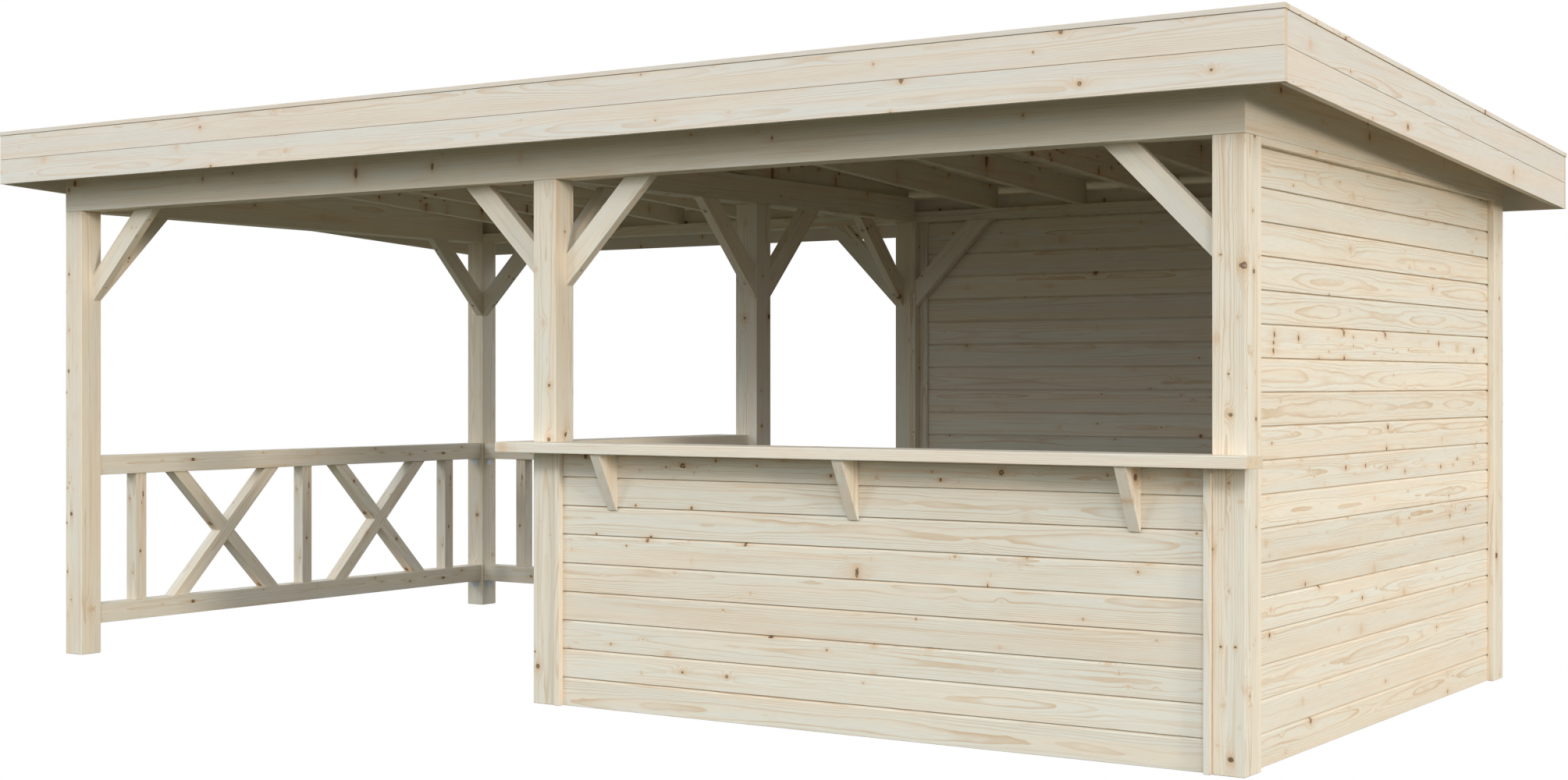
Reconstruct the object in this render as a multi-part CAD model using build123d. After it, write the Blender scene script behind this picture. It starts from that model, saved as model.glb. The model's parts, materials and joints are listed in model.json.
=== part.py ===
from build123d import *
import os
from math import sqrt

# An open timber pavilion with a flat, slightly falling roof. Left half: a railed
# lounge. Right half: a serving bar with boarded walls and a counter.
# X runs along the length, Y from front to back, Z up. The origin is on the ground
# under the middle of the roof. All sizes are in millimetres.

# Plan of the frame
bay_length = 3000.0         # post centre to post centre along the front
bay_depth = 1500.0          # row to row: front, centre and back
post_size = 120.0
post_chamfer = 4.0

# Heights
header_bottom = 2190.0
header_air_gap = 44.8       # from the front and back headers up to the roof boards
roof_slope_ratio = 0.0525   # drop of the roof per unit of depth

# Roof
overhang = 220.0            # from the outer face of the posts to the fascia face
deck_thickness = 28.0
deck_board = 119.0
deck_groove_depth = 2.5
deck_groove_half = 2.0
rafter_width = 45.0
rafter_height = 120.0
rafter_spacing = 500.0
fascia_thickness = 28.0
fascia_board = 119.0
fascia_rows = 2
cap_thickness = 18.5
cap_width = 40.0
cap_lip = 4.0               # how far a cap stands out over the fascia

# Headers and middle beam, as wide as the posts
beam_height = 126.0         # of the level middle beam and of the back header
rafter_seat = 55.0          # depth of the rebate that takes the rafter ends

# Knee braces, all at 45 degrees
brace_reach = 442.0         # from the corner to the lower edge
brace_depth = 95.0
brace_thickness = 45.0
brace_clearance = 1.0       # between a brace and the batten behind it

# Railings
rail_size = 95.0
rail_low_bottom = 146.0
rail_top_bottom = 884.0
baluster_size = 70.0
baluster_offset = 275.0     # from the post face to the first baluster centre
cross_size = 70.0

# Angle brackets under the rail ends
angle_width = 45.0
angle_leg = 38.0
angle_thickness = 2.5

# Boarded walls, tongue and groove boards laid level
board_height = 119.0
board_thickness = 28.0
groove_depth = 5.0
groove_half = 4.0
batten_size = 28.0
inner_batten_width = 45.0
batten_gap = 0.5            # between the level batten and the upright ones
bar_wall_proud = 12.0       # how far the bar battens stand out past the posts

# Counter and its brackets
counter_bottom = 1052.0
counter_thickness = 44.0
counter_in = 73.0           # from the outer face of the posts inwards
counter_out_front = 125.0
counter_out_side = 105.0
counter_past_end = 54.0     # how far the counter runs on past the right post
counter_lug_back = 22.0     # how far back that end reaches along the post
counter_round = 4.0
bracket_thickness = 45.0
bracket_height = 232.0
bracket_nose = 10.0         # from the bracket's tip to the counter's front edge
bracket_toe = 8.0           # blunt end at the foot of the bracket
bracket_spacing = 1150.0
side_bracket_spacing = 700.0

# Sizes that follow from those above
half_post = post_size / 2
post_face_x = bay_length + half_post
post_face_y = bay_depth + half_post
post_in_x = bay_length - half_post
post_in_y = bay_depth - half_post
eave_x = post_face_x + overhang
eave_y = post_face_y + overhang
beam_top = header_bottom + beam_height
back_row_deck = beam_top + header_air_gap + deck_thickness
roof_front_top = back_row_deck + roof_slope_ratio * (bay_depth + eave_y)
rafter_end_y = post_in_y + rafter_seat
fascia_in_x = eave_x - fascia_thickness
fascia_in_y = eave_y - fascia_thickness
fascia_height = fascia_board * fascia_rows
slope_dir = Vector(0, 1, -roof_slope_ratio)
brace_in = post_chamfer
wall_out_x = post_face_x - batten_size
wall_out_y = post_face_y - batten_size
wall_in_x = wall_out_x - board_thickness
wall_in_y = wall_out_y - board_thickness
inner_batten = wall_in_y - (post_in_y + brace_in + brace_thickness + brace_clearance)
bar_wall_y = post_face_y + bar_wall_proud - batten_size
bar_wall_x = half_post + bar_wall_proud - batten_size
counter_top = counter_bottom + counter_thickness
counter_front_y = post_face_y + counter_out_front
counter_back_y = post_face_y - counter_in
counter_left_x = half_post + counter_out_side
counter_inner_x = counter_in - half_post
counter_right_x = post_face_x + counter_past_end


def roof_z(y):
    # Height of the top of the deck at depth y
    return roof_front_top - roof_slope_ratio * (y + eave_y)


def deck_z(y):
    # Height of the underside of the deck at depth y
    return roof_z(y) - deck_thickness


def rafter_z(y):
    # Height of the underside of the rafters at depth y
    return deck_z(y) - rafter_height


def block(x0, x1, y0, y1, z0, z1):
    return Pos((x0 + x1) / 2, (y0 + y1) / 2, (z0 + z1) / 2) * Box(x1 - x0, y1 - y0, z1 - z0)


def along_x(points, x0, x1):
    # A profile drawn in Y and Z, run from x0 to x1
    face = Plane.YZ * make_face(Polyline(*points, close=True))
    return Pos(x0, 0, 0) * extrude(face, x1 - x0, dir=(1, 0, 0))


def along_y(points, y0, y1):
    # A profile drawn in X and Z, run from y0 to y1
    wire = Polyline(*[(x, y0, z) for x, z in points], close=True)
    return extrude(make_face(wire), y1 - y0, dir=(0, 1, 0))


def down_slope(points, y0, y1):
    # A profile drawn in X and Z at depth y0, run down the roof's slope to y1
    wire = Polyline(*[(x, y0, z) for x, z in points], close=True)
    length = (y1 - y0) * slope_dir.length
    return extrude(make_face(wire), length, dir=tuple(slope_dir.normalized()))


def save(name, *solids):
    shape = solids[0] if len(solids) == 1 else Compound(children=list(solids))
    export_step(shape, "parts/" + name + ".step")


os.makedirs("parts", exist_ok=True)

# Posts: square, standing on the ground, with their long edges eased
def post(x, y):
    body = block(x - half_post, x + half_post, y - half_post, y + half_post, 0, header_bottom)
    return chamfer(body.edges().filter_by(Axis.Z), post_chamfer)


save("post_front_left", post(-bay_length, -bay_depth))
save("post_front_middle", post(0, -bay_depth))
save("post_front_right", post(bay_length, -bay_depth))
save("post_centre", post(0, 0))
save("post_back_left", post(-bay_length, bay_depth))
save("post_back_middle", post(0, bay_depth))
save("post_back_right", post(bay_length, bay_depth))


# Headers: the front and back ones are rebated inside to seat the rafter ends.
# Each stops short of the deck by the same air gap.
def rebated_header(side, top):
    inner = side * post_in_y
    seat = side * rafter_end_y
    outer = side * post_face_y
    return [
        (outer, header_bottom),
        (inner, header_bottom),
        (inner, rafter_z(inner)),
        (seat, rafter_z(seat)),
        (seat, top),
        (outer, top),
    ]


front_header = rebated_header(-1, deck_z(-bay_depth) - header_air_gap)
back_header = rebated_header(1, beam_top)
save("header_front", along_x(front_header, -post_face_x, post_face_x))
save("header_back", along_x(back_header, -post_face_x, post_face_x))

# The side headers rise to the deck and are bevelled on top to its slope
side_header = [
    (-post_in_y, header_bottom),
    (post_in_y, header_bottom),
    (post_in_y, deck_z(post_in_y)),
    (-post_in_y, deck_z(-post_in_y)),
]
save("header_left", along_x(side_header, -post_face_x, -post_in_x))
save("header_right", along_x(side_header, post_in_x, post_face_x))
save("beam_middle", block(-half_post, half_post, -post_in_y, post_in_y, header_bottom, beam_top))


# Rafters: front to back down the slope, let into the front and back headers
def rafter(x):
    half = rafter_width / 2
    low = rafter_z(-rafter_end_y)
    top = low + rafter_height
    profile = [(x - half, low), (x + half, low), (x + half, top), (x - half, top)]
    return down_slope(profile, -rafter_end_y, rafter_end_y)


def middle_rafter():
    # Lies on the level middle beam, so its underside is cut level where they meet
    beam_meet_y = -eave_y + (rafter_z(-eave_y) - beam_top) / roof_slope_ratio
    points = [
        (-rafter_end_y, rafter_z(-rafter_end_y)),
        (beam_meet_y, beam_top),
        (post_in_y, beam_top),
        (post_in_y, deck_z(post_in_y)),
        (-rafter_end_y, deck_z(-rafter_end_y)),
    ]
    return along_x(points, -rafter_width / 2, rafter_width / 2)


rafters_per_bay = round(bay_length / rafter_spacing)
rafter_step = bay_length / rafters_per_bay
save("rafters_left", *[rafter(-k * rafter_step) for k in range(1, rafters_per_bay)])
save("rafter_middle", middle_rafter())
save("rafters_right", *[rafter(k * rafter_step) for k in range(1, rafters_per_bay)])


# Roof deck: boards along the length, with V joints on the underside
def deck_profile():
    top = [(fascia_in_y, roof_z(fascia_in_y)), (-fascia_in_y, roof_z(-fascia_in_y))]
    under = [(-fascia_in_y, deck_z(-fascia_in_y))]
    half = deck_groove_half
    y = -fascia_in_y + deck_board
    while y < fascia_in_y - half:
        under.append((y - half, deck_z(y - half)))
        under.append((y, deck_z(y) + deck_groove_depth))
        under.append((y + half, deck_z(y + half)))
        y += deck_board
    under.append((fascia_in_y, deck_z(fascia_in_y)))
    return top + under


save("roof_boards", along_x(deck_profile(), -fascia_in_x, fascia_in_x))


# Fascias: two rows of tongue and groove board. "out" is the outward direction.
def fascia_profile(face, out, top, top_fall):
    # Runs down the outer face, through the joints, and up the inner face
    inner = face - out * fascia_thickness
    points = [(inner, top + out * top_fall * fascia_thickness)]
    points.append((face - out * groove_depth, top + out * top_fall * groove_depth))
    points.append((face, top - groove_half))
    for row in range(1, fascia_rows):
        z = top - row * fascia_board
        points += [(face, z + groove_half), (face - out * groove_depth, z), (face, z - groove_half)]
    bottom = top - fascia_height
    return points + [(face, bottom), (inner, bottom)]


front_face = fascia_profile(-eave_y, -1, roof_z(-eave_y), roof_slope_ratio)
back_face = fascia_profile(eave_y, 1, roof_z(eave_y), roof_slope_ratio)
side_top = roof_z(-fascia_in_y)
save("fascia_front", along_x(front_face, -eave_x, eave_x))
save("fascia_back", along_x(back_face, -eave_x, eave_x))
save("fascia_left", down_slope(fascia_profile(-eave_x, -1, side_top, 0), -fascia_in_y, fascia_in_y))
save("fascia_right", down_slope(fascia_profile(eave_x, 1, side_top, 0), -fascia_in_y, fascia_in_y))


# Caps: flat strips over the edge of the fascia, the long ones running through
def cap_profile(y0, y1):
    return [
        (y0, roof_z(y0)),
        (y1, roof_z(y1)),
        (y1, roof_z(y1) + cap_thickness),
        (y0, roof_z(y0) + cap_thickness),
    ]


cap_out_x = eave_x + cap_lip
cap_out_y = eave_y + cap_lip
cap_in_y = cap_out_y - cap_width
front_cap = along_x(cap_profile(-cap_out_y, -cap_in_y), -cap_out_x, cap_out_x)
back_cap = along_x(cap_profile(cap_in_y, cap_out_y), -cap_out_x, cap_out_x)
save("caps_long", front_cap, back_cap)


def side_cap(x0, x1):
    low = roof_z(-cap_in_y)
    high = low + cap_thickness
    return down_slope([(x0, low), (x1, low), (x1, high), (x0, high)], -cap_in_y, cap_in_y)


cap_in_x = cap_out_x - cap_width
save("caps_short", side_cap(-cap_out_x, -cap_in_x), side_cap(cap_in_x, cap_out_x))


# Knee braces: cut upright against the post and level under the header
def brace_points(start, way):
    upper = brace_reach - brace_depth * sqrt(2)
    return [
        (start, header_bottom - brace_reach),
        (start + way * brace_reach, header_bottom),
        (start + way * upper, header_bottom),
        (start, header_bottom - upper),
    ]


def brace_x(post_x, way, side):
    # Along the length; "side" is the row's side of the centre line
    near = side * (post_in_y + brace_in)
    far = near + side * brace_thickness
    return along_y(brace_points(post_x + way * half_post, way), min(near, far), max(near, far))


def brace_y(post_y, way, x_near, x_far):
    return along_x(brace_points(post_y + way * half_post, way), x_near, x_far)


side_near = post_in_x + brace_in
side_far = side_near + brace_thickness
mid_far = half_post - brace_in
mid_near = mid_far - brace_thickness
save("braces_front_left", brace_x(-bay_length, 1, -1), brace_y(-bay_depth, 1, -side_far, -side_near))
save(
    "braces_front_middle",
    brace_x(0, -1, -1),
    brace_x(0, 1, -1),
    brace_y(-bay_depth, 1, -mid_far, -mid_near),
)
save("braces_front_right", brace_x(bay_length, -1, -1), brace_y(-bay_depth, 1, side_near, side_far))
save("braces_centre", brace_y(0, -1, mid_near, mid_far), brace_y(0, 1, mid_near, mid_far))
save("braces_back_left", brace_x(-bay_length, 1, 1), brace_y(bay_depth, -1, -side_far, -side_near))
save(
    "braces_back_middle",
    brace_x(0, -1, 1),
    brace_x(0, 1, 1),
    brace_y(bay_depth, -1, -mid_far, -mid_near),
)
save("braces_back_right", brace_x(bay_length, -1, 1), brace_y(bay_depth, -1, side_near, side_far))

# Railings: two rails, three balusters and two halved crosses, glued into one panel
rail_low_top = rail_low_bottom + rail_size
rail_rise = rail_top_bottom - rail_low_top
rail_mid_z = (rail_low_top + rail_top_bottom) / 2


def railing(length):
    # Drawn in X and Z about the middle of its length and of its thickness
    half = length / 2
    low_rail = block(-half, half, -rail_size / 2, rail_size / 2, rail_low_bottom, rail_low_top)
    top_rail = Pos(0, 0, rail_top_bottom - rail_low_bottom) * low_rail
    panel = low_rail + top_rail
    end = half - baluster_offset
    width = baluster_size / 2
    for x in (-end, 0, end):
        panel += block(x - width, x + width, -width, width, rail_low_top, rail_top_bottom)
    bar_half = cross_size / sqrt(2)
    for x in (-end / 2, end / 2):
        for way in (-1, 1):
            foot = x - way * rail_rise / 2
            head = x + way * rail_rise / 2
            points = [
                (foot - bar_half, rail_low_top),
                (foot + bar_half, rail_low_top),
                (head + bar_half, rail_top_bottom),
                (head - bar_half, rail_top_bottom),
            ]
            panel += along_y(points, -cross_size / 2, cross_size / 2)
    return panel


left_railing = railing(2 * post_in_y)
back_railing = railing(post_in_x - half_post)
back_railing_x = -(post_in_x + half_post) / 2
save("railing_left", Pos(-bay_length, 0, 0) * Rot(0, 0, 90) * left_railing)
save("railing_back", Pos(back_railing_x, bay_depth, 0) * back_railing)


# Bent steel angles that carry the rail ends: one leg on the post, one under the rail
def angle_profile(way, top):
    return [
        (0, top),
        (way * angle_leg, top),
        (way * angle_leg, top - angle_thickness),
        (way * angle_thickness, top - angle_thickness),
        (way * angle_thickness, top - angle_leg),
        (0, top - angle_leg),
    ]


angles = []
for rail_bottom in (rail_low_bottom, rail_top_bottom):
    for way in (1, -1):
        shape = along_y(angle_profile(way, rail_bottom), -angle_width / 2, angle_width / 2)
        angles.append(Pos(-bay_length, -way * post_in_y, 0) * Rot(0, 0, 90) * shape)
        start = -post_in_x if way == 1 else -half_post
        angles.append(Pos(start, bay_depth, 0) * shape)
save("rail_angle_brackets", *angles)


# Boarded walls: outer and inner faces with a V joint at each board
def wall_profile(outer, inner, top):
    sign = 1 if outer > inner else -1
    joints = []
    z = board_height
    while z < top - groove_half:
        joints.append(z)
        z += board_height
    points = [(outer, 0)]
    for z in joints:
        points += [(outer, z - groove_half), (outer - sign * groove_depth, z), (outer, z + groove_half)]
    points += [(outer, top), (inner, top)]
    for z in reversed(joints):
        points += [(inner, z + groove_half), (inner + sign * groove_depth, z), (inner, z - groove_half)]
    points.append((inner, 0))
    return points


right_wall = along_y(wall_profile(wall_out_x, wall_in_x, header_bottom), -post_in_y, post_in_y)
save("wall_right", right_wall)
save("wall_back", along_x(wall_profile(wall_out_y, wall_in_y, header_bottom), half_post, post_in_x))
bar_front_profile = wall_profile(-bar_wall_y, -bar_wall_y + board_thickness, counter_bottom)
save("wall_bar_front", along_x(bar_front_profile, half_post, post_in_x))
bar_side_profile = wall_profile(-bar_wall_x, -bar_wall_x + board_thickness, counter_bottom)
save("wall_bar_side", along_y(bar_side_profile, -post_in_y, -half_post))


# Battens: uprights beside the posts and, outside under a header, a level one
def battens_along_y(x0, x1, y0, y1, top):
    near = block(x0, x1, y0, y0 + batten_size, 0, top)
    far = block(x0, x1, y1 - batten_size, y1, 0, top)
    return [near, far]


def battens_along_x(x0, x1, y0, y1, top):
    near = block(x0, x0 + batten_size, y0, y1, 0, top)
    far = block(x1 - batten_size, x1, y0, y1, 0, top)
    return [near, far]


level_start = batten_size + batten_gap
level_low = header_bottom - batten_size
right_battens = battens_along_y(wall_out_x, post_face_x, -post_in_y, post_in_y, header_bottom)
right_battens.append(
    block(
        wall_out_x,
        post_face_x,
        -post_in_y + level_start,
        post_in_y - level_start,
        level_low,
        header_bottom,
    )
)
right_inner = wall_in_x - inner_batten
for y0 in (-post_in_y, post_in_y - inner_batten_width):
    right_battens.append(block(right_inner, wall_in_x, y0, y0 + inner_batten_width, 0, header_bottom))
save("battens_right", *right_battens)

back_battens = battens_along_x(half_post, post_in_x, wall_out_y, post_face_y, header_bottom)
back_battens.append(
    block(
        half_post + level_start,
        post_in_x - level_start,
        wall_out_y,
        post_face_y,
        level_low,
        header_bottom,
    )
)
back_inner = wall_in_y - inner_batten
for x0 in (half_post, post_in_x - inner_batten_width):
    back_battens.append(block(x0, x0 + inner_batten_width, back_inner, wall_in_y, 0, header_bottom))
save("battens_back", *back_battens)

bar_batten_y = bar_wall_y + batten_size
bar_batten_x = bar_wall_x + batten_size
front_battens = battens_along_x(half_post, post_in_x, -bar_batten_y, -bar_wall_y, counter_bottom)
side_battens = battens_along_y(-bar_batten_x, -bar_wall_x, -post_in_y, -half_post, counter_bottom)
save("battens_bar_front", *front_battens)
save("battens_bar_side", *side_battens)

# Counter: a thick top round the front and side of the bar, let in round the posts
top_plan = Polyline(
    (-counter_left_x, -counter_front_y),
    (counter_right_x, -counter_front_y),
    (counter_right_x, -post_face_y + counter_lug_back),
    (post_face_x, -post_face_y + counter_lug_back),
    (post_face_x, -post_face_y),
    (post_in_x, -post_face_y),
    (post_in_x, -counter_back_y),
    (half_post, -counter_back_y),
    (half_post, -post_face_y),
    (-half_post, -post_face_y),
    (-half_post, -counter_back_y),
    (-counter_left_x, -counter_back_y),
    close=True,
)
counter = Pos(0, 0, counter_bottom) * extrude(make_face(top_plan), counter_thickness)
front_edges = counter.edges().filter_by(Axis.X).group_by(Axis.Y)[0]
counter_front = fillet(front_edges, counter_round)
save("counter_front", counter_front)

side_plan = Polyline(
    (-counter_left_x, -counter_back_y),
    (-half_post, -counter_back_y),
    (-half_post, -post_in_y),
    (counter_inner_x, -post_in_y),
    (counter_inner_x, -half_post),
    (-counter_left_x, -half_post),
    close=True,
)
side_top_board = Pos(0, 0, counter_bottom) * extrude(make_face(side_plan), counter_thickness)
side_edges = side_top_board.edges().filter_by(Axis.Y).group_by(Axis.X)[0]
save("counter_side", fillet(side_edges, counter_round))


# Counter brackets: wedge-shaped pieces standing on edge against the wall boards
def bracket_profile(wall, front):
    way = 1 if front > wall else -1
    foot = counter_bottom - bracket_height
    return [
        (wall, counter_bottom),
        (front - way * bracket_nose, counter_bottom),
        (wall + way * bracket_toe, foot),
        (wall, foot),
    ]


half_bracket = bracket_thickness / 2
front_profile = bracket_profile(-bar_wall_y, -counter_front_y)
side_profile = bracket_profile(-bar_wall_x, -counter_left_x)
brackets = []
for k in (-1, 0, 1):
    x = bay_length / 2 + k * bracket_spacing
    brackets.append(along_x(front_profile, x - half_bracket, x + half_bracket))
for k in (-0.5, 0.5):
    y = -bay_depth / 2 + k * side_bracket_spacing
    brackets.append(along_y(side_profile, y - half_bracket, y + half_bracket))
save("counter_brackets", *brackets)
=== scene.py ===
import json
import math
import random

import bpy
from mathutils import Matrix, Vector

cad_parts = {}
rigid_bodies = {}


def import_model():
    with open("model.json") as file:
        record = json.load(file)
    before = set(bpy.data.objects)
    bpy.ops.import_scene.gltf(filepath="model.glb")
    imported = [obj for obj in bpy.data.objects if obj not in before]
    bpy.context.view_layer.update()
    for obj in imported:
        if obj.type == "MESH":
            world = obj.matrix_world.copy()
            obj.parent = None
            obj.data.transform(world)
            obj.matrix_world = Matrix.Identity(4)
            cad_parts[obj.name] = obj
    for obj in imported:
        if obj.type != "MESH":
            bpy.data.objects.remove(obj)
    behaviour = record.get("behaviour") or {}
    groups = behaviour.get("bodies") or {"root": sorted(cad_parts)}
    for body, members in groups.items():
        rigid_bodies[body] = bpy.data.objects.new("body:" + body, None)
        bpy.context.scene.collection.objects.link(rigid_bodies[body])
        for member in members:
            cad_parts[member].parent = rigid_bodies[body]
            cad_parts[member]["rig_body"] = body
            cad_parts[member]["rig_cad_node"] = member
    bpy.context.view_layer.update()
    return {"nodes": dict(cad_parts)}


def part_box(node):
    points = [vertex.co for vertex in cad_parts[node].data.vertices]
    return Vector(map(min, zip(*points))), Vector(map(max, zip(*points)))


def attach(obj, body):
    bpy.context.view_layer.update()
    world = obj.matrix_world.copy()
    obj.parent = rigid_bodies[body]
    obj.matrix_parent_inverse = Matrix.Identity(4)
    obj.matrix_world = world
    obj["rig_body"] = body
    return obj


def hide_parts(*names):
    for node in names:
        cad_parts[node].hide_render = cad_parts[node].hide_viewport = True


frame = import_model()


# Posts: seven lengths of planed spruce, 120 mm square, standing on the ground. The
# planer eases their four long edges, and their feet and heads are sawn square.
def socket(tree, name, way, kind, value=None):
    # A named way into or out of a pattern
    made = tree.interface.new_socket(name=name, in_out=way, socket_type=kind)
    if value is not None:
        made.default_value = value
    return made


def add(tree, kind, **settings):
    node = tree.nodes.new(kind)
    for key, value in settings.items():
        setattr(node, key, value)
    return node


def put(tree, node, index, value):
    # Gives a node's input another node's output, or a plain value
    if isinstance(value, bpy.types.NodeSocket):
        tree.links.new(value, node.inputs[index])
    else:
        node.inputs[index].default_value = value


def sums(tree, operation, a, b=0.0, c=0.0, clamp=False):
    node = add(tree, "ShaderNodeMath", operation=operation, use_clamp=clamp)
    put(tree, node, 0, a)
    put(tree, node, 1, b)
    if len(node.inputs) > 2:
        put(tree, node, 2, c)
    return node.outputs[0]


def vector(tree, x, y, z):
    node = add(tree, "ShaderNodeCombineXYZ")
    put(tree, node, 0, x)
    put(tree, node, 1, y)
    put(tree, node, 2, z)
    return node.outputs[0]


def spread(tree, value, low, high, to_low=0.0, to_high=1.0, smooth=False):
    # What lies between low and high is spread out between to_low and to_high
    node = add(tree, "ShaderNodeMapRange", clamp=True)
    node.interpolation_type = "SMOOTHSTEP" if smooth else "LINEAR"
    for index, what in enumerate((value, low, high, to_low, to_high)):
        put(tree, node, index, what)
    return node.outputs[0]


def clouds(tree, where, scale, detail=1.0, rough=0.5):
    node = add(tree, "ShaderNodeTexNoise", noise_dimensions="3D")
    put(tree, node, "Vector", where)
    put(tree, node, "Scale", scale)
    put(tree, node, "Detail", detail)
    put(tree, node, "Roughness", rough)
    return node.outputs[0]


def tinted(tree, amount, below, above, blend="MIX"):
    node = add(tree, "ShaderNodeMix", data_type="RGBA", blend_type=blend)
    put(tree, node, 0, amount)
    put(tree, node, 6, below)
    put(tree, node, 7, above)
    return node.outputs[2]


def make_spruce():
    # A solid pattern of rings round a pith, with branches that run out from the pith and
    # show as knots. Grain is in metres: X along the fibres, Y and Z out from the pith
    tree = bpy.data.node_groups.new("spruce grain", "ShaderNodeTree")
    socket(tree, "Grain", "INPUT", "NodeSocketVector")
    socket(tree, "Board", "INPUT", "NodeSocketFloat", 0.5)
    socket(tree, "End", "INPUT", "NodeSocketFloat", 0.0)
    socket(tree, "Ring Width", "INPUT", "NodeSocketFloat", 0.0045)
    socket(tree, "Ring Strength", "INPUT", "NodeSocketFloat", 0.5)
    socket(tree, "Streaks", "INPUT", "NodeSocketFloat", 0.5)
    socket(tree, "Knot Amount", "INPUT", "NodeSocketFloat", 0.5)
    socket(tree, "Knot Size", "INPUT", "NodeSocketFloat", 0.012)
    socket(tree, "Sapwood", "INPUT", "NodeSocketColor", (0.75, 0.68, 0.55, 1))
    socket(tree, "Latewood", "INPUT", "NodeSocketColor", (0.55, 0.40, 0.25, 1))
    socket(tree, "Resin", "INPUT", "NodeSocketColor", (0.62, 0.40, 0.20, 1))
    socket(tree, "Knot", "INPUT", "NodeSocketColor", (0.16, 0.085, 0.04, 1))
    socket(tree, "Color", "OUTPUT", "NodeSocketColor")
    socket(tree, "Roughness", "OUTPUT", "NodeSocketFloat")
    socket(tree, "Height", "OUTPUT", "NodeSocketFloat")
    given = add(tree, "NodeGroupInput").outputs
    result = add(tree, "NodeGroupOutput")

    parts = add(tree, "ShaderNodeSeparateXYZ")
    put(tree, parts, 0, given["Grain"])
    x, y, z = parts.outputs
    square_y, square_z = sums(tree, "MULTIPLY", y, y), sums(tree, "MULTIPLY", z, z)
    out = sums(tree, "SQRT", sums(tree, "ADD", square_y, square_z))
    out = sums(tree, "MAXIMUM", out, 0.002)
    turn_y = sums(tree, "DIVIDE", y, out)
    turn_z = sums(tree, "DIVIDE", z, out)

    # Branches: scattered along and round the stem, wider the further out
    step, round_pith = 0.24, 1.9
    usual_size, odd_size, ragged = 0.45, 1.25, 0.45
    at = vector(
        tree,
        sums(tree, "DIVIDE", x, step),
        sums(tree, "MULTIPLY", turn_y, round_pith),
        sums(tree, "MULTIPLY", turn_z, round_pith),
    )
    cells = add(tree, "ShaderNodeTexVoronoi", voronoi_dimensions="3D", feature="F1")
    put(tree, cells, "Vector", at)
    put(tree, cells, "Scale", 1.0)
    put(tree, cells, "Randomness", 1.0)
    luck = add(tree, "ShaderNodeSeparateColor")
    put(tree, luck, 0, cells.outputs["Color"])
    gap = add(tree, "ShaderNodeVectorMath", operation="SUBTRACT")
    put(tree, gap, 0, at)
    put(tree, gap, 1, cells.outputs["Position"])
    away = add(tree, "ShaderNodeSeparateXYZ")
    put(tree, away, 0, gap.outputs[0])
    far_x = sums(tree, "MULTIPLY", away.outputs[0], step)
    round_y = sums(tree, "POWER", away.outputs[1], 2.0)
    round_z = sums(tree, "POWER", away.outputs[2], 2.0)
    arc = sums(tree, "DIVIDE", sums(tree, "SQRT", sums(tree, "ADD", round_y, round_z)), round_pith)
    far_s = sums(tree, "MULTIPLY", arc, out)
    far = sums(tree, "ADD", sums(tree, "POWER", far_x, 2.0), sums(tree, "POWER", far_s, 2.0))
    far = sums(tree, "SQRT", far)
    size = sums(tree, "POWER", luck.outputs[0], 6.0)
    size = sums(tree, "MULTIPLY_ADD", size, odd_size, usual_size)
    size = sums(tree, "MULTIPLY", size, given["Knot Size"])
    there = sums(tree, "LESS_THAN", luck.outputs[1], given["Knot Amount"])
    radius = sums(tree, "MAXIMUM", sums(tree, "MULTIPLY", size, there), 0.00001)
    rough_edge = clouds(tree, given["Grain"], 150.0, 1.0)
    reach = sums(tree, "DIVIDE", far, radius)
    rough_edge = sums(tree, "MULTIPLY", sums(tree, "SUBTRACT", rough_edge, 0.5), ragged)
    reach = sums(tree, "ADD", reach, rough_edge)
    knot = spread(tree, reach, 1.05, 0.75, 0.0, 1.0, True)
    halo = spread(tree, reach, 3.4, 0.9, 0.0, 1.0, True)
    halo = sums(tree, "MULTIPLY", halo, halo)
    long_x = sums(tree, "DIVIDE", far_x, sums(tree, "MULTIPLY", radius, 7.0))
    wide_s = sums(tree, "DIVIDE", far_s, sums(tree, "MULTIPLY", radius, 1.5))
    tail = sums(tree, "ADD", sums(tree, "POWER", long_x, 2.0), sums(tree, "POWER", wide_s, 2.0))
    tail = sums(tree, "EXPONENT", sums(tree, "MULTIPLY", tail, -1.0))

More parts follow.
